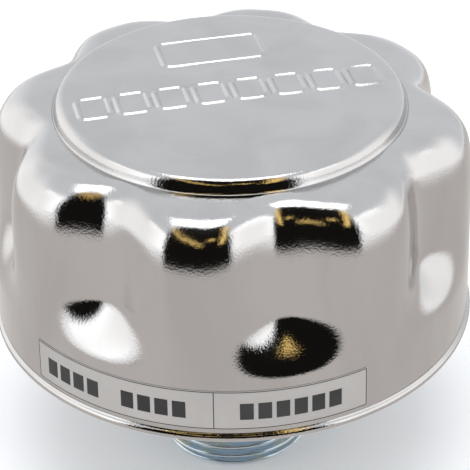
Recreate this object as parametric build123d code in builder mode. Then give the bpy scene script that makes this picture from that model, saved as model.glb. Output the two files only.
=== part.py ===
from build123d import *
import math
import os

# Air breather for a hydraulic tank: a fluted steel cap over a pleated filter element, on a threaded
# spigot that holds a pressure valve with a vacuum valve inside it. Sizes are in millimetres. Z is up
# along the breather's axis, and z = 0 is the tank face that the gasket seals on. A lobe of the cap
# points along -Y.

# ---------------------------------------------------------------- driving dimensions

# Cap, a deep-drawn steel bell
CAP_DIAMETER = 80.0  # over the bead at the skirt's edge
CAP_HEIGHT = 39.7  # from the skirt's edge to the top of the raised disc
CAP_WALL = 1.0
CAP_DRAFT = 0.6  # how far the wall draws in evenly between the skirt's edge and the shoulder
CAP_LEAN = 0.62  # how much further it leans in just below the shoulder
LEAN_LENGTH = 8.0
LEAN_CURVE = 3  # power by which it leans in with height
LOBES = 8
SCOOP_DEPTH = 4.4  # step into the wall at the foot of each valley
SCOOP_START = 10.4  # above the skirt's edge
SCOOP_RISE = 9.4
SCOOP_NARROWING = 1.5  # power of the lobes' wave that shapes a scoop across
VALLEY_DEPTH = 0.3  # how much deeper a valley is at the shoulder than at its scoop
SHOULDER_DROP = 5.0
SHOULDER_ARC_START = 13.0  # degrees above level at which the wall turns into the shoulder's arc
SHOULDER_SLACK = 0.17  # share by which the lean and the shoulder are smaller in a valley
DISC_HEIGHT = 2.4
DISC_MARGIN = 0.45  # flat between a valley's rounded shoulder and the disc's foot
DISC_SLOPE = 10.0  # degrees
DISC_EDGE_RADIUS = 1.6
BEAD_OUT = 0.5
BEAD_HEIGHT = 1.3

# Rating label, a strip stuck round the front of the skirt
LABEL_LEVEL = 2.3  # its lower edge above the skirt's edge
LABEL_HEIGHT = 7.1
LABEL_ANGLE = 81.0  # degrees of the skirt that it covers
LABEL_THICKNESS = 0.15
LABEL_GLUE_GAP = 0.05

# Threaded spigot, turned steel with a G 3/4 male thread
THREAD_DIAMETER = 26.44
THREAD_LENGTH = 19.5
THREAD_CHAMFER = 1.5
RELIEF_DEPTH = 1.2  # thread relief under the collar
BORE_DIAMETER = 18.0
COLLAR_DIAMETER = 36.0
COLLAR_HEIGHT = 7.5
COLLAR_CHAMFER = 0.3
NECK_DIAMETER = 25.0
SKIRT_DROP = 1.5  # how far the skirt hangs below the pan

# Gaskets
TANK_GASKET_THICKNESS = 2.0
TANK_GASKET_FIT = 0.1
ELEMENT_GASKET_THICKNESS = 1.5
ELEMENT_GASKET_WIDTH = 5.0

# Base pan, a pressed steel dish held on the neck by the clamp ring, with its rim under the cap's scoops
PAN_WALL = 1.0
PAN_CORNER = 3.0
PAN_RIM_LEVEL = 14.0  # the rim's top above the skirt's edge, where it meets the scoops
PAN_FIT = 0.05
CLAMP_THICKNESS = 1.2
CLAMP_WIDTH = 3.5
NECK_FIT = 0.05

# Filter element
ELEMENT_GAP = 2.5  # air space between the element and the cap's valleys or the pan
END_CAP_WALL = 0.8
END_CAP_LIP = 3.0
POTTING_THICKNESS = 1.5
POTTING_FIT = 0.02
CORE_GAP = 2.0  # radial space between the valve cage and the core tube
CORE_WALL = 0.6
CORE_FIT = 0.05
CORE_HOLE_RADIUS = 1.6
CORE_HOLES_AROUND = 12
CORE_HOLE_ROWS = 4
PLEATS = 44
PLEAT_GAP = 0.3  # between the paper's folds and the core tube
PAPER_THICKNESS = 0.5
CLIP_WALL = 0.5
CLIP_HEM = 1.4
CLIP_DEPTH = 2.2
HOLD_DOWN_SPACE = 6.5  # between the element's top and the underside of the cap's disc
HOLD_DOWN_RADIUS = 11.0
HOLD_DOWN_WIRE = 1.4
HOLD_DOWN_TURNS = 3

# Valves
CAGE_WALL = 0.8
CAGE_FLANGE = 3.0  # the cage's radius beyond the neck
CAGE_WINDOWS = 4
CAGE_WINDOW_WIDTH = 13.0
CAGE_RAIL = 2.0  # metal left above and below a window
SEAL_THICKNESS = 1.2
SEAL_MARGIN = 0.7  # the seal's edge inside the neck's edge, and its overhang into the bore
PLATE_WALL = 1.0
PLATE_MARGIN = 0.3
PLATE_COLLAR_HEIGHT = 1.5
VENTS = 6
VENT_RADIUS = 1.3
VENT_CIRCLE_RADIUS = 5.0
VACUUM_SEAL_THICKNESS = 0.8
VACUUM_SEAL_OVERLAP = 0.9  # the vacuum seal's edge beyond the vents
VACUUM_DISC_WALL = 0.8
VACUUM_DISC_MARGIN = 0.2
STEM_RADIUS = 1.5
STEM_CLEARANCE = 0.1
STEM_HEAD_RADIUS = 2.2
STEM_HEAD_HEIGHT = 1.0
RETAINER_RADIUS = 4.0
RETAINER_WALL = 0.8
RETAINER_FIT = 0.02
PRESSURE_SPRING_LENGTH = 14.3
PRESSURE_SPRING_WIRE = 1.2
PRESSURE_SPRING_TURNS = 5
VACUUM_SPRING_LENGTH = 4.8
VACUUM_SPRING_WIRE = 0.5
VACUUM_SPRING_TURNS = 5
SPRING_FIT = 0.05  # between a spring and what it bears on

# Splash baffle in the bore, and the snap ring under it
BAFFLE_DEPTH = 5.0  # its lower face below z = 0
BAFFLE_THICKNESS = 1.0
BAFFLE_SLOTS = 3
BAFFLE_SLOT_RADIUS = 3.0
BORE_FIT = 0.05
SNAP_RING_WIDTH = 1.5
SNAP_RING_THICKNESS = 1.0
SNAP_RING_GAP = 6.0
SNAP_GROOVE_DEPTH = 0.6
SNAP_FIT = 0.1

# ---------------------------------------------------------------- levels and radii that follow

thread_radius = THREAD_DIAMETER / 2
bore_radius = BORE_DIAMETER / 2
collar_radius = COLLAR_DIAMETER / 2
neck_radius = NECK_DIAMETER / 2
collar_top = TANK_GASKET_THICKNESS + COLLAR_HEIGHT
pan_floor = collar_top + PAN_WALL
clamp_top = pan_floor + CLAMP_THICKNESS
seat_level = clamp_top + CAGE_WALL

skirt_level = collar_top - SKIRT_DROP
skirt_radius = CAP_DIAMETER / 2 - BEAD_OUT
shoulder_height = CAP_HEIGHT - DISC_HEIGHT
wall_height = shoulder_height - SHOULDER_DROP
shoulder_turn = math.radians(SHOULDER_ARC_START)
shoulder_bend = SHOULDER_DROP / (1 - math.sin(shoulder_turn))
scoop_end = SCOOP_START + SCOOP_RISE


def trough(angle):
    """0 on the crests of the lobes and 1 in the valleys between them, as a cosine."""
    return (1 - math.cos(LOBES * angle)) / 2


def share_up(height, start, length):
    """How far a height is through a stretch of the wall, from 0 at its start to 1 at its end."""
    return min(1.0, max(0.0, (height - start) / length))


def cap_wall_radius(angle, height):
    """Outer radius of the cap's wall: a drafted cone that leans in below the shoulder, less a narrow
    scoop at the foot of each valley, and the valley, which deepens from there to the shoulder."""
    draft = CAP_DRAFT * height / wall_height
    lean = CAP_LEAN * share_up(height, wall_height - LEAN_LENGTH, LEAN_LENGTH) ** LEAN_CURVE
    lean *= 1 - SHOULDER_SLACK * trough(angle)
    rise = share_up(height, SCOOP_START, SCOOP_RISE)
    scoop = SCOOP_DEPTH * rise * rise * (3 - 2 * rise) * trough(angle) ** SCOOP_NARROWING
    valley = VALLEY_DEPTH * share_up(height, scoop_end, wall_height - scoop_end) * trough(angle)
    return skirt_radius - draft - lean - scoop - valley


valley_angle = math.pi / LOBES
valley_radius = cap_wall_radius(valley_angle, wall_height)
valley_bend = shoulder_bend * (1 - SHOULDER_SLACK)
disc_foot_radius = valley_radius - valley_bend * math.cos(shoulder_turn) - DISC_MARGIN
cap_underside = skirt_level + CAP_HEIGHT - CAP_WALL

pan_radius = cap_wall_radius(valley_angle, PAN_RIM_LEVEL) - CAP_WALL - PAN_FIT
pan_top = skirt_level + PAN_RIM_LEVEL

cage_radius = neck_radius + CAGE_FLANGE
core_radius = cage_radius + CORE_GAP
core_outer_radius = core_radius + CORE_WALL
element_radius = min(valley_radius - CAP_WALL, pan_radius - PAN_WALL) - ELEMENT_GAP
element_inner_radius = core_radius - CORE_FIT - END_CAP_WALL
element_bottom = pan_floor + ELEMENT_GASKET_THICKNESS
element_top = cap_underside - HOLD_DOWN_SPACE
paper_bottom = element_bottom + END_CAP_WALL + POTTING_THICKNESS
paper_top = element_top - END_CAP_WALL - POTTING_THICKNESS
paper_inner_radius = core_outer_radius + PLEAT_GAP
paper_outer_radius = element_radius - END_CAP_WALL - CLIP_WALL - 2 * CORE_FIT

plate_bottom = seat_level + SEAL_THICKNESS
plate_top = plate_bottom + PLATE_WALL
plate_radius = neck_radius - PLATE_MARGIN
vacuum_seal_radius = VENT_CIRCLE_RADIUS + VENT_RADIUS + VACUUM_SEAL_OVERLAP
vacuum_disc_radius = vacuum_seal_radius + VACUUM_DISC_MARGIN
pressure_seal_inner_radius = bore_radius - SEAL_MARGIN
plate_collar_radius = pressure_seal_inner_radius
pressure_spring_radius = plate_collar_radius + SPRING_FIT + PRESSURE_SPRING_WIRE
cage_underside = plate_top + PRESSURE_SPRING_LENGTH
retainer_bottom = plate_top + VACUUM_SPRING_LENGTH
retainer_top = retainer_bottom + RETAINER_WALL


# ---------------------------------------------------------------- shared shapes


def ring(inner_radius, outer_radius, level):
    """A flat ring about the axis, at one level."""
    with BuildSketch(Plane.XY.offset(level)) as face:
        Circle(outer_radius)
        Circle(inner_radius, mode=Mode.SUBTRACT)
    return face.sketch


def half_section(*corners):
    """Half of a turned piece's section, through its (radius, height) corners."""
    with BuildSketch(Plane.XZ) as face:
        with BuildLine():
            Polyline(*corners, close=True)
        make_face()
    return face.sketch


def coil_spring(mean_radius, wire, bottom, top, turns):
    """A round-wire compression spring between two levels, clear of both by the spring fit."""
    rise = top - bottom - wire - 2 * SPRING_FIT
    with BuildPart() as spring:
        with BuildLine() as wire_line:
            Helix(rise / turns, rise, mean_radius, center=(0, 0, bottom + wire / 2 + SPRING_FIT))
        with BuildSketch(Plane(wire_line.line @ 0, z_dir=wire_line.line % 0)):
            Circle(wire / 2)
        sweep(path=wire_line.line, is_frenet=True)
    return spring


# ---------------------------------------------------------------- cap


def cap_outline(height, level, inset, bend=0.0):
    """The cap's closed outline at a wall height, drawn at a level. The inset moves it inwards evenly, and
    the shoulder's bend moves it inwards less in the valleys."""
    points_per_lobe = 8
    steps = LOBES * points_per_lobe
    points = []
    for step in range(steps):
        angle = 2 * math.pi * step / steps
        radius = cap_wall_radius(angle, height) - inset - bend * (1 - SHOULDER_SLACK * trough(angle))
        points.append((radius * math.cos(angle), radius * math.sin(angle)))
    with BuildSketch(Plane.XY.offset(level)) as face:
        with BuildLine():
            Spline(*points, periodic=True)
        make_face()
    return face.sketch


def bead_outlines():
    """Outlines over the half-round bead at the skirt's edge."""
    bead_steps = 4
    outlines = []
    for step in range(bead_steps + 1):
        turn = math.pi * (step / bead_steps - 0.5)
        height = BEAD_HEIGHT / 2 * (1 + math.sin(turn))
        outlines.append(cap_outline(height, skirt_level + height, -BEAD_OUT * math.cos(turn)))
    return outlines


def wall_outlines(wall):
    """Outlines up the wall and over the rounded shoulder, for the outside (wall 0) or the inside."""
    scoop_steps = 5
    valley_steps = 5
    shoulder_steps = 6
    valley_rise = wall_height - scoop_end
    heights = [SCOOP_START + SCOOP_RISE * step / scoop_steps for step in range(scoop_steps)]
    heights += [scoop_end + valley_rise * step / valley_steps for step in range(valley_steps + 1)]
    outlines = [cap_outline(height, skirt_level + height, wall) for height in heights]
    for step in range(1, shoulder_steps + 1):
        turn = shoulder_turn + (math.pi / 2 - shoulder_turn) * step / shoulder_steps
        level = skirt_level + shoulder_height - shoulder_bend + (shoulder_bend - wall) * math.sin(turn)
        bend = shoulder_bend * (math.cos(shoulder_turn) - math.cos(turn))
        outlines.append(cap_outline(wall_height, level, wall * math.cos(turn), bend))
    return outlines


# The space inside the cap: the outside moved in by the wall
with BuildPart() as cap_hollow:
    loft([cap_outline(0, skirt_level, CAP_WALL)] + wall_outlines(CAP_WALL), ruled=True)
    with BuildSketch(Plane.XY.offset(skirt_level + shoulder_height - CAP_WALL)):
        Circle(disc_foot_radius - CAP_WALL)
    extrude(amount=DISC_HEIGHT, taper=DISC_SLOPE)
    fillet(cap_hollow.edges().group_by(Axis.Z)[-1], DISC_EDGE_RADIUS - CAP_WALL / 2)

with BuildPart() as cap_shell:
    loft(bead_outlines() + wall_outlines(0), ruled=True)
    with BuildSketch(Plane.XY.offset(skirt_level + shoulder_height)):
        Circle(disc_foot_radius)
    extrude(amount=DISC_HEIGHT, taper=DISC_SLOPE)
    fillet(cap_shell.edges().group_by(Axis.Z)[-1], DISC_EDGE_RADIUS)
    add(cap_hollow.part, mode=Mode.SUBTRACT)
cap_shell.part.label = "cap_shell"

# The label follows the skirt's draft, a glue line off the steel
label_top = LABEL_LEVEL + LABEL_HEIGHT
label_foot_radius = cap_wall_radius(0, LABEL_LEVEL) + LABEL_GLUE_GAP
label_head_radius = cap_wall_radius(0, label_top) + LABEL_GLUE_GAP
with BuildPart() as rating_label:
    label_section = half_section(
        (label_foot_radius, skirt_level + LABEL_LEVEL),
        (label_foot_radius + LABEL_THICKNESS, skirt_level + LABEL_LEVEL),
        (label_head_radius + LABEL_THICKNESS, skirt_level + label_top),
        (label_head_radius, skirt_level + label_top),
    )
    start = Rot(0, 0, -90 - LABEL_ANGLE / 2)
    revolve(start * label_section, axis=Axis.Z, revolution_arc=LABEL_ANGLE)
rating_label.part.label = "rating_label"

# ---------------------------------------------------------------- spigot, gasket and pan

with BuildPart() as threaded_spigot:
    revolve(
        half_section(
            (bore_radius, -THREAD_LENGTH),
            (thread_radius - THREAD_CHAMFER, -THREAD_LENGTH),
            (thread_radius, -THREAD_LENGTH + THREAD_CHAMFER),
            (thread_radius, 0),
            (thread_radius - RELIEF_DEPTH, 0),
            (thread_radius - RELIEF_DEPTH, TANK_GASKET_THICKNESS),
            (collar_radius, TANK_GASKET_THICKNESS),
            (collar_radius, collar_top),
            (neck_radius, collar_top),
            (neck_radius, seat_level),
            (bore_radius, seat_level),
        ),
        axis=Axis.Z,
    )
    groove_top = SNAP_FIT / 2 - BAFFLE_DEPTH
    groove_height = SNAP_RING_THICKNESS + SNAP_FIT
    extrude(
        ring(bore_radius - SNAP_FIT, bore_radius + SNAP_GROOVE_DEPTH, groove_top - groove_height),
        amount=groove_height,
        mode=Mode.SUBTRACT,
    )
    collar_edges = threaded_spigot.edges().filter_by(GeomType.CIRCLE).group_by(Axis.Z)[-2]
    chamfer(collar_edges.sort_by(SortBy.RADIUS)[-1], COLLAR_CHAMFER)
threaded_spigot.part.label = "threaded_spigot"

with BuildPart() as tank_gasket:
    extrude(
        ring(thread_radius + TANK_GASKET_FIT, collar_radius - SEAL_MARGIN, 0),
        amount=TANK_GASKET_THICKNESS,
    )
tank_gasket.part.label = "tank_gasket"

with BuildPart() as base_pan:
    with BuildSketch(Plane.XY.offset(collar_top)):
        Circle(pan_radius)
    extrude(amount=pan_top - collar_top)
    fillet(base_pan.edges().group_by(Axis.Z)[0], PAN_CORNER)
    with BuildSketch(Plane.XY.offset(pan_floor)):
        Circle(pan_radius - PAN_WALL)
    extrude(amount=pan_top - pan_floor, mode=Mode.SUBTRACT)
    inner_corner = base_pan.edges().filter_by(GeomType.CIRCLE).filter_by_position(
        Axis.Z, pan_floor - PAN_FIT, pan_floor + PAN_FIT
    )
    fillet(inner_corner, PAN_CORNER - PAN_WALL)
    with BuildSketch(Plane.XY.offset(collar_top)):
        Circle(neck_radius + NECK_FIT)
    extrude(amount=PAN_WALL, mode=Mode.SUBTRACT)
base_pan.part.label = "base_pan"

with BuildPart() as clamp_ring:
    extrude(ring(neck_radius + NECK_FIT, neck_radius + CLAMP_WIDTH, pan_floor), amount=CLAMP_THICKNESS)
    chamfer(clamp_ring.edges().group_by(Axis.Z)[-1].sort_by(SortBy.RADIUS)[-1], CLAMP_THICKNESS / 3)
clamp_ring.part.label = "clamp_ring"

# ---------------------------------------------------------------- filter element

with BuildPart() as element_lower_gasket:
    extrude(
        ring(element_inner_radius, element_inner_radius + ELEMENT_GASKET_WIDTH, pan_floor),
        amount=ELEMENT_GASKET_THICKNESS,
    )
element_lower_gasket.part.label = "element_lower_gasket"

# The lower end cap is a ring-shaped tray with a lip round each edge
with BuildPart() as element_lower_end_cap:
    extrude(ring(element_inner_radius, element_radius, element_bottom), amount=END_CAP_LIP)
    tray_floor = element_bottom + END_CAP_WALL
    extrude(
        ring(element_inner_radius + END_CAP_WALL, element_radius - END_CAP_WALL, tray_floor),
        amount=END_CAP_LIP,
        mode=Mode.SUBTRACT,
    )
element_lower_end_cap.part.label = "element_lower_end_cap"

# The upper end cap is closed, turned down at its edge, with a raised seat for the hold-down spring
upper_floor = element_top - END_CAP_WALL
spring_seat_radius = HOLD_DOWN_RADIUS - HOLD_DOWN_WIRE / 2 - SPRING_FIT
with BuildPart() as element_upper_end_cap:
    revolve(
        half_section(
            (0, upper_floor + END_CAP_WALL),
            (0, upper_floor + 2 * END_CAP_WALL),
            (spring_seat_radius, upper_floor + 2 * END_CAP_WALL),
            (spring_seat_radius, element_top),
            (element_radius, element_top),
            (element_radius, element_top - END_CAP_LIP),
            (element_radius - END_CAP_WALL, element_top - END_CAP_LIP),
            (element_radius - END_CAP_WALL, upper_floor),
            (spring_seat_radius - END_CAP_WALL, upper_floor),
            (spring_seat_radius - END_CAP_WALL, upper_floor + END_CAP_WALL),
        ),
        axis=Axis.Z,
    )
element_upper_end_cap.part.label = "element_upper_end_cap"

potting_inner_radius = core_outer_radius + POTTING_FIT
potting_outer_radius = element_radius - END_CAP_WALL - POTTING_FIT
with BuildPart() as lower_potting_ring:
    extrude(
        ring(potting_inner_radius, potting_outer_radius, element_bottom + END_CAP_WALL),
        amount=POTTING_THICKNESS,
    )
lower_potting_ring.part.label = "lower_potting_ring"

with BuildPart() as upper_potting_ring:
    extrude(ring(potting_inner_radius, potting_outer_radius, paper_top), amount=POTTING_THICKNESS)
upper_potting_ring.part.label = "upper_potting_ring"

with BuildPart() as element_core_tube:
    core_bottom = element_bottom + END_CAP_WALL
    core_height = upper_floor - core_bottom
    extrude(ring(core_radius, core_outer_radius, core_bottom), amount=core_height)
    for row in range(CORE_HOLE_ROWS):
        row_level = core_bottom + core_height * (row + 1) / (CORE_HOLE_ROWS + 1)
        with Locations((0, 0, row_level)):
            with PolarLocations(core_radius, CORE_HOLES_AROUND, start_angle=row * 180 / CORE_HOLES_AROUND):
                Cylinder(CORE_HOLE_RADIUS, 4 * CORE_WALL, rotation=(0, 90, 0), mode=Mode.SUBTRACT)
element_core_tube.part.label = "element_core_tube"


def pleat_outline(tip_radius, root_radius):
    """A star about the axis, with one tip for each pleat."""
    corners = []
    for fold in range(2 * PLEATS):
        radius = root_radius if fold % 2 else tip_radius
        turn = math.pi * fold / PLEATS
        corners.append((radius * math.cos(turn), radius * math.sin(turn)))
    with BuildSketch(Plane.XY.offset(paper_bottom)) as face:
        with BuildLine():
            Polyline(*corners, close=True)
        make_face()
    return face.sketch


# A fold is as thick along the radius as the paper is, measured square to its slanting flank
flank_across = paper_inner_radius * math.sin(math.pi / PLEATS)
flank_along = paper_outer_radius - paper_inner_radius * math.cos(math.pi / PLEATS)
flank_slant = math.atan2(flank_across, flank_along)
tip_thickness = PAPER_THICKNESS / math.sin(flank_slant)
root_thickness = PAPER_THICKNESS / math.sin(flank_slant + math.pi / PLEATS)
with BuildPart() as filter_paper_pleats:
    extrude(
        pleat_outline(paper_outer_radius, paper_inner_radius + root_thickness),
        amount=paper_top - paper_bottom,
    )
    extrude(
        pleat_outline(paper_outer_radius - tip_thickness, paper_inner_radius),
        amount=paper_top - paper_bottom,
        mode=Mode.SUBTRACT,
    )
filter_paper_pleats.part.label = "filter_paper_pleats"

# The clip is a folded strip in one valley of the pleats, with its hem outside the tips
with BuildPart() as pleat_seam_clip:
    clip_start = paper_outer_radius + CORE_FIT
    with BuildSketch(Plane.XY.offset(paper_bottom)):
        with Locations((clip_start, 0)):
            Rectangle(CLIP_WALL, CLIP_HEM, align=(Align.MIN, Align.CENTER))
            Rectangle(CLIP_DEPTH, CLIP_WALL, align=(Align.MAX, Align.CENTER))
    extrude(amount=paper_top - paper_bottom)
pleat_seam_clip.part = Rot(0, 0, 180 / PLEATS) * pleat_seam_clip.part
pleat_seam_clip.part.label = "pleat_seam_clip"

hold_down_spring = coil_spring(
    HOLD_DOWN_RADIUS, HOLD_DOWN_WIRE, element_top, cap_underside, HOLD_DOWN_TURNS
)
hold_down_spring.part.label = "hold_down_spring"

# ---------------------------------------------------------------- valves

# The cage is drawn in one piece, with its flange under the clamped edge and windows for the air
with BuildPart() as valve_cage:
    extrude(ring(neck_radius + NECK_FIT, cage_radius, clamp_top), amount=CAGE_WALL)
    extrude(ring(cage_radius - CAGE_WALL, cage_radius, clamp_top), amount=cage_underside - clamp_top)
    extrude(ring(bore_radius / 2, cage_radius, cage_underside), amount=CAGE_WALL)
    window_height = cage_underside - seat_level - 2 * CAGE_RAIL
    with Locations((0, 0, (cage_underside + seat_level) / 2)):
        with PolarLocations(cage_radius, CAGE_WINDOWS):
            Box(4 * CAGE_WALL, CAGE_WINDOW_WIDTH, window_height, mode=Mode.SUBTRACT)
valve_cage.part.label = "valve_cage"

with BuildPart() as pressure_valve_seal:
    extrude(
        ring(pressure_seal_inner_radius, neck_radius - SEAL_MARGIN, seat_level), amount=SEAL_THICKNESS
    )
pressure_valve_seal.part.label = "pressure_valve_seal"

with BuildPart() as pressure_valve_plate:
    extrude(ring(STEM_RADIUS + STEM_CLEARANCE, plate_radius, plate_bottom), amount=PLATE_WALL)
    extrude(
        ring(plate_collar_radius - PLATE_WALL, plate_collar_radius, plate_top), amount=PLATE_COLLAR_HEIGHT
    )
    with Locations((0, 0, plate_bottom + PLATE_WALL / 2)):
        with PolarLocations(VENT_CIRCLE_RADIUS, VENTS):
            Cylinder(VENT_RADIUS, 2 * PLATE_WALL, mode=Mode.SUBTRACT)
pressure_valve_plate.part.label = "pressure_valve_plate"

pressure_spring = coil_spring(
    pressure_spring_radius, PRESSURE_SPRING_WIRE, plate_top, cage_underside, PRESSURE_SPRING_TURNS
)
pressure_spring.part.label = "pressure_spring"

vacuum_disc_top = plate_bottom - VACUUM_SEAL_THICKNESS
with BuildPart() as vacuum_valve_seal:
    extrude(
        ring(STEM_RADIUS + RETAINER_FIT, vacuum_seal_radius, vacuum_disc_top), amount=VACUUM_SEAL_THICKNESS
    )
vacuum_valve_seal.part.label = "vacuum_valve_seal"

# The stem's end is riveted over the retainer
with BuildPart() as vacuum_valve_stem:
    revolve(
        half_section(
            (0, vacuum_disc_top - VACUUM_DISC_WALL),
            (vacuum_disc_radius, vacuum_disc_top - VACUUM_DISC_WALL),
            (vacuum_disc_radius, vacuum_disc_top),
            (STEM_RADIUS, vacuum_disc_top),
            (STEM_RADIUS, retainer_top),
            (STEM_HEAD_RADIUS, retainer_top),
            (STEM_HEAD_RADIUS, retainer_top + STEM_HEAD_HEIGHT),
            (0, retainer_top + STEM_HEAD_HEIGHT),
        ),
        axis=Axis.Z,
    )
    fillet(vacuum_valve_stem.edges().group_by(Axis.Z)[-1], STEM_HEAD_HEIGHT / 2)
vacuum_valve_stem.part.label = "vacuum_valve_stem"

with BuildPart() as vacuum_spring_retainer:
    extrude(ring(STEM_RADIUS + RETAINER_FIT, RETAINER_RADIUS, retainer_bottom), amount=RETAINER_WALL)
vacuum_spring_retainer.part.label = "vacuum_spring_retainer"

vacuum_spring = coil_spring(
    (STEM_RADIUS + RETAINER_RADIUS) / 2, VACUUM_SPRING_WIRE, plate_top, retainer_bottom, VACUUM_SPRING_TURNS
)
vacuum_spring.part.label = "vacuum_spring"

# ---------------------------------------------------------------- splash baffle

with BuildPart() as splash_baffle:
    with BuildSketch(Plane.XY.offset(-BAFFLE_DEPTH)):
        Circle(bore_radius - BORE_FIT)
        with PolarLocations(bore_radius - BAFFLE_SLOT_RADIUS, BAFFLE_SLOTS):
            Circle(BAFFLE_SLOT_RADIUS - SNAP_RING_WIDTH / 2, mode=Mode.SUBTRACT)
    extrude(amount=BAFFLE_THICKNESS)
splash_baffle.part.label = "splash_baffle"

snap_ring_radius = bore_radius + SNAP_GROOVE_DEPTH - BORE_FIT
with BuildPart() as baffle_snap_ring:
    extrude(
        ring(snap_ring_radius - SNAP_RING_WIDTH, snap_ring_radius, -BAFFLE_DEPTH - SNAP_RING_THICKNESS),
        amount=SNAP_RING_THICKNESS,
    )
    with Locations((snap_ring_radius, 0, -BAFFLE_DEPTH)):
        Box(4 * SNAP_RING_WIDTH, SNAP_RING_GAP, 4 * SNAP_RING_THICKNESS, mode=Mode.SUBTRACT)
baffle_snap_ring.part.label = "baffle_snap_ring"

# ---------------------------------------------------------------- files

PIECES = [
    cap_shell,
    rating_label,
    threaded_spigot,
    tank_gasket,
    base_pan,
    clamp_ring,
    element_lower_gasket,
    element_lower_end_cap,
    element_upper_end_cap,
    lower_potting_ring,
    upper_potting_ring,
    element_core_tube,
    filter_paper_pleats,
    pleat_seam_clip,
    hold_down_spring,
    valve_cage,
    pressure_valve_seal,
    pressure_valve_plate,
    pressure_spring,
    vacuum_valve_seal,
    vacuum_valve_stem,
    vacuum_spring_retainer,
    vacuum_spring,
    splash_baffle,
    baffle_snap_ring,
]
os.makedirs("parts", exist_ok=True)
for piece in PIECES:
    export_step(piece.part, f"parts/{piece.part.label}.step")
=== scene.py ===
"""Looks of a tank air breather: a fluted chrome cap with a printed label, on a zinc-plated threaded spigot.

Lengths are in metres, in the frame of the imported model: Z is up along the breather's axis, z = 0 is the
tank face under the gasket, and a lobe of the cap points along -Y.
"""
import math

import bpy
import numpy as np
from mathutils import Matrix, Vector


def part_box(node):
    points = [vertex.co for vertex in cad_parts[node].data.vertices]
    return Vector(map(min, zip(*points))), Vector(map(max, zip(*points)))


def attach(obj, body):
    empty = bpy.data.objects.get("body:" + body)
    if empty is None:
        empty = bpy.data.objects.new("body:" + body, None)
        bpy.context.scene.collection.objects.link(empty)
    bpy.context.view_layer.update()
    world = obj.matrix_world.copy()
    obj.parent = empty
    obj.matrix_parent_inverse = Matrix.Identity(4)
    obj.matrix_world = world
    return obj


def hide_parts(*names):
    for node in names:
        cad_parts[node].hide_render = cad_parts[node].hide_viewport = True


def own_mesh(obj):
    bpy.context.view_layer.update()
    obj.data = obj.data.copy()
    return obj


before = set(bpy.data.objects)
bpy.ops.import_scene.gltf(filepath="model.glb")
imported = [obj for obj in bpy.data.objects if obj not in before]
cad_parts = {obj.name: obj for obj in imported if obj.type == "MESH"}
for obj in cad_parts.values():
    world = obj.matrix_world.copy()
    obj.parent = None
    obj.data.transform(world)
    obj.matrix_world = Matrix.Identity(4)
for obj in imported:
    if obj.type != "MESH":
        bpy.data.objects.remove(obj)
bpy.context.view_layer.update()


# ---------------------------------------------------------------- cap shell
# The cap is one deep-drawn bell of thin steel, chromed. Its wall is a drafted cone with eight shallow
# valleys, a deep scoop pressed into the foot of each, a bead at the edge and a raised disc on top.

cap_low, cap_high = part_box("cap_shell")
cap_radius = cap_high.x
cap_height = cap_high.z - cap_low.z
sheet = 0.0010
bead_out = 0.0005
bead_height = 0.0013
draft = 0.0006
lean = 0.00062
lean_length = 0.0080
lean_curve = 3
disc_height = 0.0024
disc_edge = 0.0016
disc_crown = 0.0003
disc_foot = 0.02805
shoulder_drop = 0.0050
arc_start = math.radians(13.0)
valley_slack = 0.17
lobes = 8
scoop_depth = 0.0044
scoop_start = 0.0104
scoop_rise = 0.0094
scoop_narrowing = 1.5
valley_depth = 0.0003
scoop_end = scoop_start + scoop_rise
skirt_radius = cap_radius - bead_out
shoulder_height = cap_height - disc_height
wall_height = shoulder_height - shoulder_drop
wall_foot = 0.0022
flat_margin = 0.0004
disc_draft = 0.00015
cap_columns = 480
wall_rows = 52
shoulder_rows = 16
disc_edge_rows = 9


def grid_quads(index):
    """The quads of a grid of vertex numbers, each from its corner round to the next row and back."""
    corners = [index[:-1, :-1], index[:-1, 1:], index[1:, 1:], index[1:, :-1]]
    return np.stack(corners, axis=-1).reshape(-1, 4).tolist()


def smooth_mesh(name, vertices, faces):
    """A smooth-shaded mesh from its vertices and faces."""
    mesh = bpy.data.meshes.new(name)
    mesh.from_pydata(vertices, [], faces)
    mesh.update()
    mesh.shade_smooth()
    return mesh


def columns_round(count):
    """The angles of a count of columns that are evenly spaced round the axis."""
    return np.arange(count) * 2 * math.pi / count


def ring(radius, angle, height):
    """Points at a radius, an angle and a height: (radius cos angle, radius sin angle, height)."""
    return np.stack([radius * np.cos(angle), radius * np.sin(angle), height + 0 * angle], axis=-1)


def grid_mesh(name, points, loop=False, poles=()):
    """Quads over a grid whose columns go round. A looped grid joins its last row to its first, and a pole,
    0 or -1, closes that end row with a fan of triangles to the row's mean point."""
    rows, columns = points.shape[:2]
    index = np.arange(rows * columns).reshape(rows, columns)
    if loop:
        index = np.vstack([index, index[:1]])
    index = np.hstack([index, index[:, :1]])
    faces = grid_quads(index)
    vertices = points.reshape(-1, 3).tolist()
    for pole in poles:
        edge = index[pole] if pole else index[0][::-1]
        faces += [[a, b, len(vertices)] for a, b in zip(edge[:-1].tolist(), edge[1:].tolist())]
        vertices.append(points[pole].mean(axis=0).tolist())
    return smooth_mesh(name, vertices, faces)


def placed(name, mesh, material):
    """An object at the origin that shows a mesh in a material."""
    thing = bpy.data.objects.new(name, mesh)
    bpy.context.scene.collection.objects.link(thing)
    mesh.materials.append(material)
    return thing


def new_piece(name, mesh, material, body):
    """A finished piece with its material, body and material slot."""
    piece = placed(name, mesh, material)
    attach(piece, body)
    return piece


def smooth_rise(share):
    """Goes from 0 to 1 as the share does, level at both ends: 3 s^2 - 2 s^3."""
    share = np.clip(share, 0, 1)
    return share * share * (3 - 2 * share)


def trough(angle):
    """0 on the crests of the lobes and 1 in the valleys between them: (1 - cos(lobes x angle)) / 2."""
    return (1 - np.cos(lobes * angle)) / 2


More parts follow.
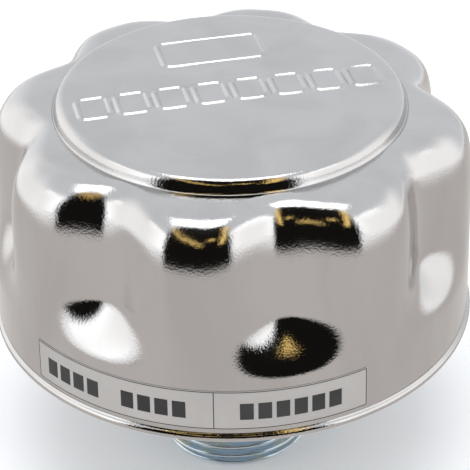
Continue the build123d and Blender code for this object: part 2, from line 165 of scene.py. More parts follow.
def wall_radius(angle, height):
    """Radius of the cap's outside: a drafted cone that leans in below the shoulder, less each valley's scoop
    and the valley above it. The lean and the scoop's narrowing are powers of the height and the trough, the
    scoop deepens as a smooth rise, and the valley in a straight line."""
    cone = skirt_radius - draft * height / wall_height
    leaning = np.clip((height - wall_height + lean_length) / lean_length, 0, 1) ** lean_curve
    scoop = scoop_depth * smooth_rise((height - scoop_start) / scoop_rise) * trough(angle) ** scoop_narrowing
    deepening = np.clip((height - scoop_end) / (wall_height - scoop_end), 0, 1)
    valley = valley_depth * deepening * trough(angle)
    return cone - lean * leaning * (1 - valley_slack * trough(angle)) - scoop - valley


def disc_level(radius):
    """Height of the disc's crowned top above the skirt's edge: it falls with the radius squared."""
    return cap_height - disc_crown * (radius / (disc_foot - disc_edge)) ** 2


def cap_rows(angle, inset):
    """Rows of (radius, height) from the foot of the wall to near the centre of the disc, at an inset into
    the sheet: up the wall, over the shoulder's elliptic arc, across the flat, up the disc's side and over
    its edge's arc."""
    flat_angle = np.zeros_like(angle)
    rows = []
    for height in np.linspace(wall_foot, wall_height, wall_rows):
        rows.append((wall_radius(angle, height) - inset, flat_angle + height))
    bend_up = (shoulder_height - wall_height) / (1 - math.sin(arc_start))
    bend_across = bend_up * (1 - valley_slack * trough(angle))
    arc_centre = wall_radius(angle, wall_height) - bend_across * math.cos(arc_start)
    for turn in np.linspace(arc_start, math.pi / 2, shoulder_rows)[1:]:
        radius = arc_centre + (bend_across - inset) * math.cos(turn)
        rows.append((radius, flat_angle + shoulder_height - bend_up + (bend_up - inset) * math.sin(turn)))
    flat_end = disc_foot + flat_margin
    plane = shoulder_height - inset
    for share in (0.3, 0.6, 0.85, 1.0):
        rows.append((arc_centre + (flat_end - arc_centre) * share, flat_angle + plane))
    foot = [(0.0003, -0.00008), (0.0002, -0.00016), (0.0001, -0.0001), (0, 0.0001), (-0.0001, 0.0004)]
    for out, up in foot:
        rows.append((flat_angle + disc_foot + out - inset, flat_angle + plane + up))
    edge_radius = disc_foot - disc_draft - disc_edge
    edge_bend = disc_edge - inset
    edge_level = cap_height - disc_crown - disc_edge
    for turn in np.linspace(0.1, math.pi / 2, disc_edge_rows):
        radius = edge_radius + edge_bend * math.cos(turn)
        rows.append((flat_angle + radius, flat_angle + edge_level + edge_bend * math.sin(turn)))
    for share in (0.97, 0.9, 0.78, 0.64, 0.5, 0.36, 0.22, 0.08):
        radius = edge_radius * share
        rows.append((flat_angle + radius, flat_angle + disc_level(radius) - inset))
    return rows


def edge_rows(angle):
    """Rows round the skirt's cut edge and over its bead, which ends in a shallow crease."""
    flat_angle = np.zeros_like(angle)
    edge = [(-sheet, 0.0012), (-sheet, 0.00035), (-0.00085, 0.0001), (-0.0006, 0.0), (-0.0002, 0.0)]
    for turn in np.linspace(-1.2, 1.25, 8):
        edge.append((bead_out * math.cos(turn), bead_height / 2 * (1 + math.sin(turn))))
    edge += [(-0.00006, 0.0014), (-0.00010, 0.00155), (-0.00005, 0.0018)]
    return [(flat_angle + skirt_radius + out, flat_angle + up) for out, up in edge]


around = columns_round(cap_columns)
cap_profile = cap_rows(around, sheet)[::-1] + edge_rows(around) + cap_rows(around, 0.0)
cap_points = np.array([ring(radius, around, cap_low.z + height) for radius, height in cap_profile])


def link_all(tree, pairs):
    """Links each (output, input) pair."""
    for start, end in pairs:
        tree.links.new(start, end)


def new_group(name, inputs, outputs):
    """An empty shader group with float or vector inputs, their defaults, and named outputs."""
    group = bpy.data.node_groups.new(name, "ShaderNodeTree")
    for label, default in inputs.items():
        kind = "NodeSocketVector" if default is None else "NodeSocketFloat"
        socket = group.interface.new_socket(label, in_out="INPUT", socket_type=kind)
        if default is not None:
            socket.default_value = default
    for label, kind in outputs.items():
        group.interface.new_socket(label, in_out="OUTPUT", socket_type=kind)
    return group, group.nodes.new("NodeGroupInput"), group.nodes.new("NodeGroupOutput")


# Shader group for fine relief: one fine noise, as a normal.
grain_group, grain_in, grain_out = new_group(
    "metal_grain",
    {"Vector": None, "Scale": 1500.0, "Height": 0.00001},
    {"Normal": "NodeSocketVector"},
)
fine_noise = grain_group.nodes.new("ShaderNodeTexNoise")
fine_noise.inputs["Detail"].default_value = 3.0
fine_noise.inputs["Roughness"].default_value = 0.6
grain_bump = grain_group.nodes.new("ShaderNodeBump")
grain_bump.inputs["Strength"].default_value = 1.0
link_all(
    grain_group,
    [
        (grain_in.outputs["Vector"], fine_noise.inputs["Vector"]),
        (grain_in.outputs["Scale"], fine_noise.inputs["Scale"]),
        (fine_noise.outputs["Fac"], grain_bump.inputs["Height"]),
        (grain_in.outputs["Height"], grain_bump.inputs["Distance"]),
        (grain_bump.outputs["Normal"], grain_out.inputs["Normal"]),
    ],
)

# Shader group for smears and handling marks: a wide noise, sharpened, between two values.
smear_group, smear_in, smear_out = new_group(
    "smears",
    {"Vector": None, "Scale": 60.0, "Low": 0.1, "High": 0.2},
    {"Value": "NodeSocketFloat", "Mask": "NodeSocketFloat"},
)
wide_noise = smear_group.nodes.new("ShaderNodeTexNoise")
wide_noise.inputs["Detail"].default_value = 5.0
wide_noise.inputs["Distortion"].default_value = 0.6
smear_ramp = smear_group.nodes.new("ShaderNodeMapRange")
smear_ramp.interpolation_type = "SMOOTHSTEP"
smear_ramp.inputs["From Min"].default_value = 0.35
smear_ramp.inputs["From Max"].default_value = 0.7
smear_mix = smear_group.nodes.new("ShaderNodeMapRange")
link_all(
    smear_group,
    [
        (smear_in.outputs["Vector"], wide_noise.inputs["Vector"]),
        (smear_in.outputs["Scale"], wide_noise.inputs["Scale"]),
        (wide_noise.outputs["Fac"], smear_ramp.inputs["Value"]),
        (smear_ramp.outputs["Result"], smear_mix.inputs["Value"]),
        (smear_in.outputs["Low"], smear_mix.inputs["To Min"]),
        (smear_in.outputs["High"], smear_mix.inputs["To Max"]),
        (smear_mix.outputs["Result"], smear_out.inputs["Value"]),
        (smear_ramp.outputs["Result"], smear_out.inputs["Mask"]),
    ],
)


def new_material(name, metallic, light, dark, roughness, grain, smear_scale=60.0, smear_squeeze=1.0):
    """A surface whose colour and roughness drift between two values with the smears, over a fine grain of
    a given scale (per metre) and height. A squeeze below 1 draws the smears out along the axis."""
    material = bpy.data.materials.new(name)
    material.use_nodes = True
    nodes = material.node_tree.nodes
    shader = nodes["Principled BSDF"]
    shader.inputs["Metallic"].default_value = metallic
    place = nodes.new("ShaderNodeTexCoord")
    stretch = nodes.new("ShaderNodeMapping")
    stretch.inputs["Scale"].default_value = (1.0, 1.0, smear_squeeze)
    grain_node = nodes.new("ShaderNodeGroup")
    grain_node.node_tree = grain_group
    grain_node.inputs["Scale"].default_value = grain[0]
    grain_node.inputs["Height"].default_value = grain[1]
    smear_node = nodes.new("ShaderNodeGroup")
    smear_node.node_tree = smear_group
    smear_node.inputs["Scale"].default_value = smear_scale
    smear_node.inputs["Low"].default_value = roughness[0]
    smear_node.inputs["High"].default_value = roughness[1]
    colour = nodes.new("ShaderNodeMix")
    colour.data_type = "RGBA"
    colour.inputs["A"].default_value = (*light, 1)
    colour.inputs["B"].default_value = (*dark, 1)
    link_all(
        material.node_tree,
        [
            (place.outputs["Object"], grain_node.inputs["Vector"]),
            (place.outputs["Object"], stretch.inputs["Vector"]),
            (stretch.outputs["Vector"], smear_node.inputs["Vector"]),
            (grain_node.outputs["Normal"], shader.inputs["Normal"]),
            (smear_node.outputs["Value"], shader.inputs["Roughness"]),
            (smear_node.outputs["Mask"], colour.inputs["Factor"]),
            (colour.outputs["Result"], shader.inputs["Base Color"]),
        ],
    )
    return material


chrome = new_material(
    "cap_chrome",
    1.0,
    (0.56, 0.551, 0.545),
    (0.51, 0.500, 0.493),
    (0.04, 0.07),
    (2900, 0.000023),
    smear_scale=90.0,
    smear_squeeze=0.3,
)
cap_mesh = grid_mesh("cap_shell_drawn", cap_points, poles=(0, -1))
cap = new_piece("cap_shell_drawn", cap_mesh, chrome, "housing")
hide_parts("cap_shell")


# ---------------------------------------------------------------- raised marks on the disc
# Plain raised outlines pressed into the disc: a row of equal bars across the middle and a blank frame behind
# them. Each is a low rounded ridge that follows a rounded rectangle.

ridge_half_width = 0.00055
ridge_height = 0.00028
ridge_root = 0.0003
arc_points = 10
marks_turn = math.radians(22.5)


def ridge(centre, width, depth, corner):
    """Ridge along a rounded rectangle: across it, a bell (1 + cos) / 2 above the disc and a flat bottom
    sunk in the disc; along it, four corner arcs joined by straight sides."""
    across = np.linspace(1, -1, 11)
    lift = ridge_height * (1 + np.cos(math.pi * across)) / 2
    across = np.concatenate([across, [-1, 1]])
    lift = np.concatenate([lift, [-ridge_root, -ridge_root]])
    quarters = np.repeat(np.arange(4), arc_points) * math.pi / 2
    turns = np.tile(np.linspace(0, math.pi / 2, arc_points), 4) + quarters
    sign_x = np.repeat([1, -1, -1, 1], arc_points)
    sign_y = np.repeat([1, 1, -1, -1], arc_points)
    reach = corner + across[:, None] * ridge_half_width
    x = centre[0] + sign_x * (width / 2 - corner) + reach * np.cos(turns)
    y = centre[1] + sign_y * (depth / 2 - corner) + reach * np.sin(turns)
    level = disc_level(np.hypot(x, y)) + lift[:, None]
    turned_x = x * math.cos(marks_turn) - y * math.sin(marks_turn)
    turned_y = x * math.sin(marks_turn) + y * math.cos(marks_turn)
    return np.stack([turned_x, turned_y, cap_low.z + level], axis=-1)


def joined_mesh(name, meshes):
    """One mesh made of several meshes of quads, each kept as it is: the corners of each are numbered on
    from those of the one before."""
    vertices = []
    quads = []
    for part in meshes:
        places = np.empty(3 * len(part.vertices), dtype=np.float32)
        part.vertices.foreach_get("co", places)
        corners = np.empty(len(part.loops), dtype=np.int32)
        part.loops.foreach_get("vertex_index", corners)
        quads += (corners.reshape(-1, 4) + len(vertices)).tolist()
        vertices += places.reshape(-1, 3).tolist()
        bpy.data.meshes.remove(part)
    return smooth_mesh(name, vertices, quads)


bars = 8
bar_width = 0.0050
bar_gap = 0.0013
bar_depth = 0.0064
bar_row = -0.0005
blank_centre = (0.0, 0.0140)
blank_width = 0.0170
blank_depth = 0.0084
mark_corner = 0.0012
ridges = [ridge(blank_centre, blank_width, blank_depth, mark_corner)]
for number in range(bars):
    bar_centre = (number - (bars - 1) / 2) * (bar_width + bar_gap)
    ridges.append(ridge((bar_centre, bar_row), bar_width, bar_depth, mark_corner))
marks_mesh = joined_mesh("disc_marks", [grid_mesh("ridge", points, loop=True) for points in ridges])
new_piece("disc_marks", marks_mesh, chrome, "housing")


# ---------------------------------------------------------------- rating label
# A strip of matt grey film stuck round the front of the skirt, with a thin printed border, a divider and
# three rows of equal plain bars. The film is thin and flat-edged, and the ink is a thin layer over it.

label_low, label_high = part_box("rating_label")
label_length = 0.0565
label_height = label_high.z - label_low.z
half_length = label_length / 2
glue = 0.00002
film = 0.00012
ink = 0.00002
stroke_step = 0.0006


def label_point(across, up, out):
    """Point on the skirt's cone from a length round it (0 at the front), a height above the label's foot and
    a distance out from the steel."""
    height = label_low.z - cap_low.z + up
    radius = skirt_radius - draft * height / wall_height + out
    return ring(radius, across / skirt_radius - math.pi / 2, label_low.z + up)


def stroke(start, end, width, bottom, top):
    """A straight flat stroke on the label from one (across, up) point to another: a four-cornered section
    carried along the line, which follows the skirt, with a quad at each end."""
    start = np.array(start)
    end = np.array(end)
    along = (end - start) / np.linalg.norm(end - start)
    side = np.array([-along[1], along[0]]) * width / 2
    steps = max(2, int(abs(end[0] - start[0]) / stroke_step) + 2)
    line = start + (end - start) * np.linspace(0, 1, steps)[:, None]
    rings = []
    for offset, level in ((-side, bottom), (side, bottom), (side, top), (-side, top)):
        rings.append(label_point(line[:, 0] + offset[0], line[:, 1] + offset[1], level))
    points = np.stack(rings, axis=1)
    index = np.arange(4 * steps).reshape(steps, 4)
    after = np.roll(index, -1, axis=1)
    sides = np.stack([index[:-1], index[1:], after[1:], after[:-1]], axis=-1).reshape(-1, 4)
    faces = np.vstack([index[:1], index[-1:, ::-1], sides]).tolist()
    mesh = bpy.data.meshes.new("stroke")
    mesh.from_pydata(points.reshape(-1, 3).tolist(), [], faces)
    return mesh


film_row = label_height / 2
film_mesh = stroke((-half_length, film_row), (half_length, film_row), label_height, glue, film)
film_mesh.name = "rating_label_film"

border = 0.00013
border_inset = 0.00016
divider_at = 0.0036
print_row = label_height * 0.47
bold = 0.0030
printed_width = 0.0021
printed_step = 0.0028
printed_rows = ((-0.0258, 4), (-0.0112, 4), (0.0076, 6))
strokes = []
edge_x = half_length - border_inset
for up in (border_inset, label_height - border_inset):
    strokes.append(((-edge_x, up), (edge_x, up), border))
for across in (-edge_x, divider_at, edge_x):
    strokes.append(((across, border_inset), (across, label_height - border_inset), border))
for row_start, count in printed_rows:
    for number in range(count):
        start_x = row_start + number * printed_step
        strokes.append(((start_x, print_row), (start_x + printed_width, print_row), bold))
print_mesh = joined_mesh("label_print", [stroke(*mark, film, film + ink) for mark in strokes])
for thin_mesh in (film_mesh, print_mesh):
    thin_mesh.shade_flat()
film_material = new_material(
    "label_film", 0.0, (0.375, 0.353, 0.335), (0.340, 0.320, 0.303), (0.45, 0.60), (2500, 0.000006)
)
ink_material = new_material(
    "label_ink", 0.0, (0.012, 0.012, 0.013), (0.03, 0.03, 0.03), (0.40, 0.55), (2500, 0.000004)
)
label = new_piece("rating_label_film", film_mesh, film_material, "housing")
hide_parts("rating_label")
new_piece("label_print", print_mesh, ink_material, "housing")


# ---------------------------------------------------------------- threaded spigot
# The spigot is turned from steel bar, with a pipe thread, a relief, a collar, a neck and a bore, and then
# zinc plated with a blue passivation, which gives it a faint bluish and straw bloom.

spigot_low, spigot_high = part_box("threaded_spigot")
collar_radius = spigot_high.x
thread_radius = 0.01322
thread_pitch = 0.001814
thread_depth = 0.00116
thread_chamfer = 0.0015
rows_per_pitch = 14
crest_flatness = 1.35
relief_radius = 0.01202
gasket_low, gasket_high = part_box("tank_gasket")
pan_low, pan_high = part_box("base_pan")
neck_radius = 0.0125
bore_radius = 0.0090
turned_columns = 128
flat_pad = 0.0002


def rounded(corners, steps=5):
    """A profile through (radius, height, rounding) corners, each replaced by an arc of that rounding, which
    touches both sides, with a point just before and after it so that the flats shade flat."""
    profile = []
    count = len(corners)
    for number, (radius, height, bend) in enumerate(corners):
        corner = np.array([radius, height])
        before = np.array(corners[number - 1][:2]) - corner
        after = np.array(corners[(number + 1) % count][:2]) - corner
        length_before = np.linalg.norm(before)
        length_after = np.linalg.norm(after)
        before /= length_before
        after /= length_after
        half_angle = math.acos(np.clip(before @ after, -1, 1)) / 2
        reach = min(bend / math.tan(half_angle), 0.45 * length_before, 0.45 * length_after)
        bend = reach * math.tan(half_angle)
        middle = (before + after) / np.linalg.norm(before + after)
        centre = corner + middle * bend / math.sin(half_angle)
        first = corner + before * reach - centre
        last = corner + after * reach - centre
        pad_before = min(flat_pad, 0.04 * length_before)
        pad_after = min(flat_pad, 0.04 * length_after)
        profile.append(corner + before * (reach + pad_before))
        for share in np.linspace(0, 1, steps):
            swept = math.pi - 2 * half_angle
            weight_first = math.sin((1 - share) * swept) / math.sin(swept)
            weight_last = math.sin(share * swept) / math.sin(swept)
            profile.append(centre + first * weight_first + last * weight_last)
        profile.append(corner + after * (reach + pad_after))
    return np.array(profile)


def turned_points(profile):
    """The grid of a turned shape: its profile carried round the axis."""
    angle = columns_round(turned_columns)
    return ring(profile[:, :1], angle, profile[:, 1:])


def thread_points(bottom, top):
    """The thread's grid: the radius is a rounded triangle wave of height less the turn's share of the
    pitch, so its crests climb one pitch each turn, and it runs out at both ends."""
    rows = int((top - bottom) / thread_pitch * rows_per_pitch)
    height = np.linspace(bottom, top, rows)[:, None]
    angle = columns_round(turned_columns)[None, :]
    phase = (height / thread_pitch - angle / (2 * math.pi)) % 1
    wave = np.clip(crest_flatness * (4 * np.abs(phase - 0.5) - 1), -1, 1)
    radius = thread_radius - thread_depth / 2 + thread_depth / 2 * np.sin(wave * math.pi / 2)
    cone = thread_radius - thread_chamfer + (height - bottom)
    run_out = relief_radius + thread_depth * smooth_rise((top - height) / (thread_pitch / 2))
    radius = np.minimum(np.minimum(radius, cone), np.maximum(run_out, relief_radius))
    return ring(radius, angle, height)


spigot_end = spigot_low.z
groove_top = -0.00495
groove_bottom = -0.00605
groove_radius = bore_radius + 0.0006
body_profile = rounded(
    [
        (bore_radius, spigot_high.z, 0.0003),
        (bore_radius, groove_top, 0.0001),
        (groove_radius, groove_top, 0.0001),
        (groove_radius, groove_bottom, 0.0001),
        (bore_radius, groove_bottom, 0.0001),
        (bore_radius, spigot_end, 0.0004),
        (thread_radius - thread_chamfer, spigot_end, 0.0001),
    ]
)[:-1]
head_profile = rounded(
    [
        (relief_radius, gasket_low.z, 0.0001),
        (relief_radius, gasket_high.z, 0.0002),
        (collar_radius, gasket_high.z, 0.0006),
        (collar_radius, pan_low.z, 0.0005),
        (neck_radius, pan_low.z, 0.0002),
        (neck_radius, spigot_high.z, 0.0003),
        (bore_radius + 0.0005, spigot_high.z, 0.0001),
    ]
)[2:-2]
spigot_points = np.concatenate(
    [
        turned_points(body_profile)[1:],
        thread_points(spigot_end + 0.0001, gasket_low.z - 0.0001),
        turned_points(head_profile),
    ]
)
blue_zinc = new_material(
    "blue_zinc", 1.0, (0.50, 0.60, 0.68), (0.60, 0.62, 0.55), (0.16, 0.30), (900, 0.000006), smear_scale=150.0
)
spigot = new_piece(
    "threaded_spigot_turned",
    grid_mesh("threaded_spigot_turned", spigot_points, loop=True),
    blue_zinc,
    "housing",
)
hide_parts("threaded_spigot")


# ---------------------------------------------------------------- tank gasket
# A flat moulded ring of black nitrile rubber, with softened edges, held against the collar.


def turned_piece(name, node, corners, material, body):
    """A turned piece that stands for one node."""
    piece = new_piece(name, grid_mesh(name, turned_points(rounded(corners)), loop=True), material, body)
    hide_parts(node)
    return piece


rubber = new_material(
    "nitrile_rubber", 0.0, (0.018, 0.018, 0.019), (0.035, 0.034, 0.033), (0.50, 0.70), (3000, 0.00001)
)
gasket_inner = thread_radius + 0.0001
turned_piece(
    "tank_gasket_moulded",
    "tank_gasket",
    [
        (gasket_inner, gasket_high.z, 0.0004),
        (gasket_inner, gasket_low.z, 0.0004),
        (gasket_high.x, gasket_low.z, 0.0005),
        (gasket_high.x, gasket_high.z, 0.0005),
    ],
    rubber,
    "housing",
)


# ---------------------------------------------------------------- base pan
# A pressed dish of zinc-plated sheet with a stiffening rib in its floor. It closes the cap, and its rim
# stands inside the skirt, just under the cap's scoops.

pan_radius = pan_high.x
pan_floor = pan_low.z + sheet
pan_hole = neck_radius + 0.00005
rib = 0.0006
zinc_sheet = new_material(
    "zinc_sheet", 1.0, (0.56, 0.57, 0.57), (0.46, 0.47, 0.48), (0.22, 0.38), (700, 0.000008), smear_scale=90.0
)
rib_under = [
    (0.0238, pan_low.z, 0.0008),
    (0.0248, pan_low.z + rib, 0.0008),
    (0.0272, pan_low.z + rib, 0.0008),
    (0.0282, pan_low.z, 0.0008),
]
rib_over = [(radius, height + sheet, bend) for radius, height, bend in reversed(rib_under)]
turned_piece(
    "base_pan_pressed",
    "base_pan",
    [
        (pan_hole, pan_floor, 0.0002),
        (pan_hole, pan_low.z, 0.0002),
        *rib_under,
        (pan_radius, pan_low.z, 0.0030),
        (pan_radius, pan_high.z, 0.0004),
        (pan_radius - sheet, pan_high.z, 0.0004),
        (pan_radius - sheet, pan_floor, 0.0020),
        *rib_over,
    ],
    zinc_sheet,
    "housing",
)


# ---------------------------------------------------------------- filter element
# Resin-impregnated paper, folded into pleats and set in potting resin between two pressed end caps, round
# a perforated core. The paper's folds are rounded.

paper_low, paper_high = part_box("filter_paper_pleats")
core_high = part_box("element_core_tube")[1]
pleats = 44
columns_per_pleat = 18
fold_flatness = 1.12
paper_thickness = 0.0005
fold_outer = paper_high.x - 0.0002
fold_inner = core_high.x + 0.0005


def pleat_points():
    """The paper's grid: a rounded triangle wave round the axis, carried up in two skins, one set in from
    the other by the paper's thickness measured square to the flanks."""
    columns = pleats * columns_per_pleat
    angle = columns_round(columns)
    wave = np.clip(fold_flatness * (4 * np.abs((angle * pleats / (2 * math.pi)) % 1 - 0.5) - 1), -1, 1)
    radius = (fold_outer + fold_inner) / 2 + (fold_outer - fold_inner) / 2 * np.sin(wave * math.pi / 2)
    line = np.stack([radius * np.cos(angle), radius * np.sin(angle)], axis=-1)
    tangent = np.roll(line, -1, axis=0) - np.roll(line, 1, axis=0)
    tangent /= np.linalg.norm(tangent, axis=1)[:, None]
    outward = np.stack([tangent[:, 1], -tangent[:, 0]], axis=-1) * paper_thickness / 2
    rings = []
    for side, height in ((-1, paper_high.z), (-1, paper_low.z), (1, paper_low.z), (1, paper_high.z)):
        rings.append(np.column_stack([line + side * outward, np.full(columns, height)]))
    return np.array(rings)


paper = new_material(
    "filter_paper",
    0.0,
    (0.72, 0.60, 0.38),
    (0.62, 0.50, 0.30),
    (0.75, 0.90),
    (2200, 0.00003),
    smear_scale=200.0,
)
pleat_mesh = grid_mesh("filter_paper_folded", pleat_points(), loop=True)
pleat_mesh.set_sharp_from_angle(angle=math.radians(60))
pleat_piece = new_piece("filter_paper_folded", pleat_mesh, paper, "housing")
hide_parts("filter_paper_pleats")


# ---------------------------------------------------------------- springs
# Three compression springs of drawn wire. Each has a closed turn at both ends, and open turns between. In the
# real breather the two valve springs shorten as their valves move; here each of them gets a mesh of its own.

steps_per_turn = 40
wire_columns = 12


def spring_mesh(name, node, wire, turns):
    """A spring that fills its node's box: a round wire carried along a helix that climbs by just under the
    wire's thickness in each closed turn, and by the rest, as a smooth rise, between them."""
    low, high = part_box(node)
    mean_radius = high.x - wire / 2
    steps = int(turns * steps_per_turn)
    share = np.linspace(0, 1, steps)
    closed = 0.9 / turns
    climb = np.clip((share - closed) / (1 - 2 * closed), 0, 1)
    end_climb = wire * 0.95
    rise = high.z - low.z - wire
    start_part = np.clip(share / closed, 0, 1)
    end_part = np.clip((share - 1 + closed) / closed, 0, 1)
    height = low.z + wire / 2 + end_climb * (start_part + end_part)
    height += (rise - 2 * end_climb) * smooth_rise(climb)
    angle = 2 * math.pi * turns * share
    line = ring(mean_radius, angle, height)
    tangent = np.gradient(line, axis=0)
    tangent /= np.linalg.norm(tangent, axis=1)[:, None]
    outward = ring(1.0, angle, 0.0)
    upward = np.cross(outward, tangent)
    around_wire = columns_round(wire_columns)[None, :, None]
    section = np.cos(around_wire) * outward[:, None] + np.sin(around_wire) * upward[:, None]
    return grid_mesh(name, line[:, None] + wire / 2 * section, poles=(0, -1))


spring_steel = new_material(
    "spring_steel", 1.0, (0.42, 0.42, 0.43), (0.33, 0.33, 0.34), (0.22, 0.34), (1800, 0.000004)
)
hold_down = new_piece(
    "hold_down_spring_wire",
    spring_mesh("hold_down_spring_wire", "hold_down_spring", 0.0014, 3),
    spring_steel,
    "housing",
)
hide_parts("hold_down_spring")

pressure_spring = new_piece(
    "pressure_spring_wire",
    spring_mesh("pressure_spring_wire", "pressure_spring", 0.0012, 5),
    spring_steel,
    "housing",
)
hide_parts("pressure_spring")
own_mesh(pressure_spring)

vacuum_spring = new_piece(
    "vacuum_spring_wire",
    spring_mesh("vacuum_spring_wire", "vacuum_spring", 0.0005, 5),
    spring_steel,
    "pressure_valve",
)
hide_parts("vacuum_spring")
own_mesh(vacuum_spring)


# ---------------------------------------------------------------- pieces kept from the frame
# The pressed, moulded and turned pieces inside keep their shape and take their real finish.

potting = new_material(
    "potting_resin", 0.0, (0.030, 0.028, 0.025), (0.045, 0.042, 0.038), (0.30, 0.45), (800, 0.00002)
)
brass = new_material(
    "turned_brass", 1.0, (0.72, 0.52, 0.22), (0.60, 0.42, 0.18), (0.18, 0.30), (1200, 0.000004)
)
finishes = {
    zinc_sheet: (
        "clamp_ring",
        "element_lower_end_cap",
        "element_upper_end_cap",
        "element_core_tube",
        "pleat_seam_clip",
        "valve_cage",
        "pressure_valve_plate",
        "splash_baffle",
    ),
    rubber: ("element_lower_gasket", "pressure_valve_seal", "vacuum_valve_seal"),
    potting: ("lower_potting_ring", "upper_potting_ring"),
    brass: ("vacuum_valve_stem", "vacuum_spring_retainer"),
    spring_steel: ("baffle_snap_ring",),
}
for material, names in finishes.items():
    for name in names:
        node_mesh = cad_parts[name].data
        node_mesh.materials.clear()
        node_mesh.materials.append(material)


# ---------------------------------------------------------------- studio
# A pale floor and soft white light from above and both sides. Round the breather stand screens that only
# the mirroring chrome sees: a dark one in front with three warm strips before it, a white one at each side
# and a grey card over the floor.

screen_points = 30
dark_distance = 0.22
strip_distance = 0.215
white_distance = 0.24
white_feather = 0.34
card_columns = 72
floor_side = 6.0
light_target = (0, 0, 0.02)


def look_from(position, target):
    """Turns a thing at a position so that its -Z axis points at the target."""
    turn = (Vector(target) - Vector(position)).to_track_quat("-Z", "Y").to_matrix().to_4x4()
    return Matrix.Translation(position) @ turn


def emitter(name, colour, strength):
    """A plain glowing material, as solid at each vertex as the mesh's glow attribute says."""
    material = bpy.data.materials.new(name)
    material.use_nodes = True
    shader = material.node_tree.nodes["Principled BSDF"]
    shader.inputs["Base Color"].default_value = (0, 0, 0, 1)
    shader.inputs["Specular IOR Level"].default_value = 0.0
    shader.inputs["Emission Color"].default_value = (*colour, 1)
    shader.inputs["Emission Strength"].default_value = strength
    glow = material.node_tree.nodes.new("ShaderNodeAttribute")
    glow.attribute_name = "glow"
    material.node_tree.links.new(glow.outputs["Fac"], shader.inputs["Alpha"])
    return material


floor_material = bpy.data.materials.new("floor")
floor_material.use_nodes = True
floor_shader = floor_material.node_tree.nodes["Principled BSDF"]
floor_shader.inputs["Base Color"].default_value = (0.96, 0.96, 0.96, 1)
floor_shader.inputs["Roughness"].default_value = 0.9
edge = floor_side / 2
floor_corners = [(-edge, -edge), (edge, -edge), (edge, edge), (-edge, edge)]
floor_mesh = bpy.data.meshes.new("floor")
floor_mesh.from_pydata([(x, y, spigot_end) for x, y in floor_corners], [], [[0, 1, 2, 3]])
panel = placed("floor", floor_mesh, floor_material)

camera_azimuth = math.radians(10.0)
camera_elevation = math.radians(32.9)
camera_distance = 0.32
camera_roll = math.radians(1.0)
camera_target = Vector((0, 0, cap_low.z + 0.0120))
camera_offset = Vector(
    (
        math.sin(camera_azimuth) * math.cos(camera_elevation),
        -math.cos(camera_azimuth) * math.cos(camera_elevation),
        math.sin(camera_elevation),
    )
)
camera_data = bpy.data.cameras.new("camera")
camera_data.lens = 147.0
camera_data.sensor_width = 36.0
camera_data.shift_x = 0.006
camera_data.clip_start = 0.01
camera = bpy.data.objects.new("camera", camera_data)
bpy.context.scene.collection.objects.link(camera)
camera_place = look_from(camera_target + camera_offset * camera_distance, camera_target)
camera.matrix_world = camera_place @ Matrix.Rotation(-camera_roll, 4, "Z")
bpy.context.scene.camera = camera


def mirrored_only(panel, glow):
    """Marks a panel of the studio that only mirrored light sees, with how solid it is at each vertex."""
    attribute = panel.data.attributes.new("glow", "FLOAT", "POINT")
    attribute.data.foreach_set("value", np.ascontiguousarray(glow, dtype=np.float32).ravel())
    panel.visible_camera = False
    panel.visible_diffuse = False
    panel.visible_shadow = False


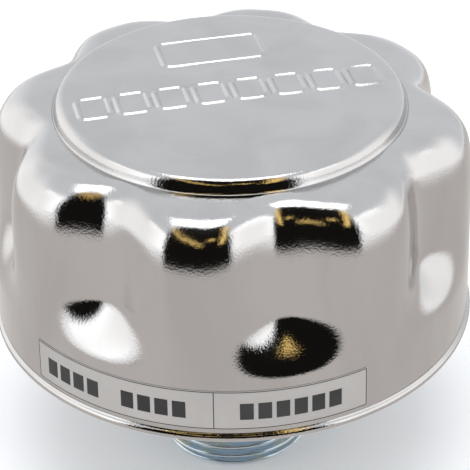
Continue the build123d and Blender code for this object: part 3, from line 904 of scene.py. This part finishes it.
def screen(name, azimuths, elevations, distance, material, slant=0.0, feather=0.0):
    """Part of a sphere round the breather, between two azimuths and two elevations in degrees. A slant
    shifts its azimuth with height, and a feather is the share of its width over which its edges fade."""
    across, up = np.meshgrid(np.linspace(0, 1, screen_points), np.linspace(0, 1, screen_points))
    edge = np.minimum(np.minimum(across, 1 - across), np.minimum(up, 1 - up))
    glow = smooth_rise(edge / feather) if feather else 1 + 0 * edge
    azimuth = azimuths[0] + (azimuths[1] - azimuths[0]) * across
    elevation = elevations[0] + (elevations[1] - elevations[0]) * up
    azimuth = np.radians(azimuth + slant * (elevation - np.mean(elevations)))
    elevation = np.radians(elevation)
    x = np.sin(azimuth) * np.cos(elevation)
    y = -np.cos(azimuth) * np.cos(elevation)
    points = np.stack([x, y, np.sin(elevation)], axis=-1) * distance
    index = np.arange(screen_points * screen_points).reshape(screen_points, screen_points)
    mesh = bpy.data.meshes.new(name)
    mesh.from_pydata(points.reshape(-1, 3).tolist(), [], grid_quads(index))
    mirrored_only(placed(name, mesh, material), glow)


def card_ring(name, inner, outer, level, material):
    """A flat ring round the breather, at a level, that only the mirrored light sees."""
    angle = columns_round(card_columns)
    mesh = grid_mesh(name, np.array([ring(outer, angle, level), ring(inner, angle, level)]))
    mirrored_only(placed(name, mesh, material), np.ones(len(mesh.vertices)))


dark = emitter("dark_screen", (0.010, 0.009, 0.008), 1.0)
gold = emitter("warm_strip", (0.95, 0.66, 0.22), 2.2)
white = emitter("white_screen", (1.0, 1.0, 1.0), 1.5)
card = emitter("grey_card", (0.75, 0.715, 0.69), 1.0)
screen("dark_screen", (-34, 48), (-4.0, 71), dark_distance, dark)
screen("white_screen_left", (-155, -24), (-14, 56), white_distance, white, feather=white_feather)
screen("white_screen_right", (36, 135), (-14, 54), white_distance, white, feather=white_feather)
card_ring("grey_card", 0.018, 0.40, spigot_end + 0.0003, card)
screen("warm_strip_left", (-17, -13), (32, 62), strip_distance, gold, slant=-1.2)
screen("warm_strip_middle", (12, 21), (43, 46), strip_distance, gold, slant=0.8)
screen("warm_strip_right", (36, 42), (32, 64), strip_distance, gold, slant=0.4)


def soft_light(name, position, width, height, power):
    """A rectangular area light aimed at the breather."""
    lamp = bpy.data.lights.new(name, "AREA")
    lamp.shape = "RECTANGLE"
    lamp.size = width
    lamp.size_y = height
    lamp.energy = power
    light = bpy.data.objects.new(name, lamp)
    bpy.context.scene.collection.objects.link(light)
    light.matrix_world = look_from(position, light_target)


soft_light("top_light", (0.0, -0.22, 1.15), 0.78, 0.74, 4.8)
soft_light("left_light", (-0.9, -0.55, 0.45), 0.8, 0.9, 2.8)
soft_light("right_light", (0.95, -0.35, 0.45), 0.7, 0.9, 2.4)

world = bpy.data.worlds.new("studio")
world.use_nodes = True
world.node_tree.nodes["Background"].inputs["Color"].default_value = (0.91, 0.94, 0.98, 1)
world.node_tree.nodes["Background"].inputs["Strength"].default_value = 1.0
bpy.context.scene.world = world
bpy.context.scene.view_settings.view_transform = "Standard"
